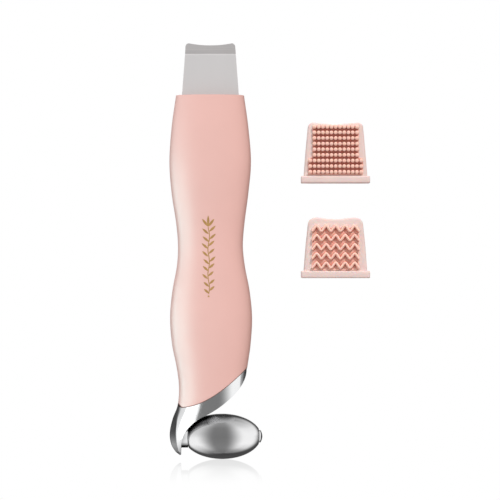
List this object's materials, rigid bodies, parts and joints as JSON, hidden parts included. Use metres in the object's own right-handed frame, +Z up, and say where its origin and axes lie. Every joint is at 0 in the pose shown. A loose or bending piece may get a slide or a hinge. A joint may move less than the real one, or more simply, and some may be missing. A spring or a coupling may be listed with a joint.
{
  "type": "ultrasonic skin scrubber",
  "caption": "Handheld ultrasonic skin scrubber with a bent steel blade, a waisted pink handle, a turning egg-shaped roller at its foot and slip-on silicone blade covers.",
  "frame": {"origin": "centre of the grip, at the waist of the handle, on its middle plane", "axes": "+Z up the handle towards the blade, +X to the right seen from the front, +Y towards the back with the buttons; the blade's lip leans to the front, -Y"},
  "size_m": [0.09, 0.0224, 0.1867],
  "materials": {
    "pearl_pink": "satin gloss, pearl pink",
    "seal_pink": "matt silicone",
    "blade_steel": "fine satin",
    "ceramic_white": "silvered ceramic",
    "pad_grey": "matt silicone",
    "screw_steel": "zinc plated",
    "wire_red": "smooth insulation",
    "frame_grey": "moulded",
    "board_green": "solder mask",
    "chip_black": "moulded",
    "lamp_ivory": "clear over ivory",
    "pipe_clear": "clear, polished",
    "socket_steel": "nickel plated",
    "pouch_foil": "foil pouch",
    "arm_chrome": "satin chrome plate",
    "roller_chrome": "polished chrome plate",
    "axle_steel": "ground",
    "bush_white": "moulded acetal",
    "button_chrome": "satin chrome plate",
    "cover_silicone": "matt silicone",
    "relief_rose": "matt silicone, deeper rose"
  },
  "bodies": {
    "handle": {"front_shell": "pearl_pink", "back_shell": "pearl_pink", "mouth_seal": "seal_pink", "blade": "blade_steel", "transducer": "ceramic_white", "damping_pads": "pad_grey", "blade_screws": "screw_steel", "transducer_leads": "wire_red", "inner_frame": "frame_grey", "main_board": "board_green", "board_parts": "chip_black", "tact_switches": "chip_black", "status_leds": "lamp_ivory", "light_pipes": "pipe_clear", "charging_socket": "socket_steel", "battery": "pouch_foil", "battery_leads": "wire_red", "frame_screws": "screw_steel", "shell_screws": "screw_steel", "screw_plugs": "pearl_pink", "roller_arm": "arm_chrome", "arm_screws": "screw_steel", "neck_collar": "arm_chrome", "axle": "axle_steel", "thrust_washer": "bush_white", "axle_cap": "roller_chrome"},
    "roller": {"roller": "roller_chrome", "roller_bushes": "bush_white"},
    "power_button": {"power_button": "button_chrome"},
    "mode_button": {"mode_button": "button_chrome"},
    "nub_cover": {"nub_cover": "cover_silicone", "nub_field": "relief_rose"},
    "ridge_cover": {"ridge_cover": "cover_silicone", "ridge_field": "relief_rose"}
  },
  "joints": [
    {"name": "roller_spin", "type": "hinge", "parent": "handle", "child": "roller", "pos_m": [0.0053, 0, -0.0856], "axis": [1, 0, 0], "continuous": true},
    {"name": "power_press", "type": "slide", "parent": "handle", "child": "power_button", "axis": [0, -1, 0], "range_m": [0, 0.0005], "stiffness_N_per_m": 400},
    {"name": "mode_press", "type": "slide", "parent": "handle", "child": "mode_button", "axis": [0, -1, 0], "range_m": [0, 0.0005], "stiffness_N_per_m": 400},
    {"name": "nub_cover_take", "type": "slide", "parent": "handle", "child": "nub_cover", "axis": [1, 0, 0], "range_m": [0, 0.03]},
    {"name": "ridge_cover_take", "type": "slide", "parent": "handle", "child": "ridge_cover", "axis": [1, 0, 0], "range_m": [0, 0.03]}
  ]
}
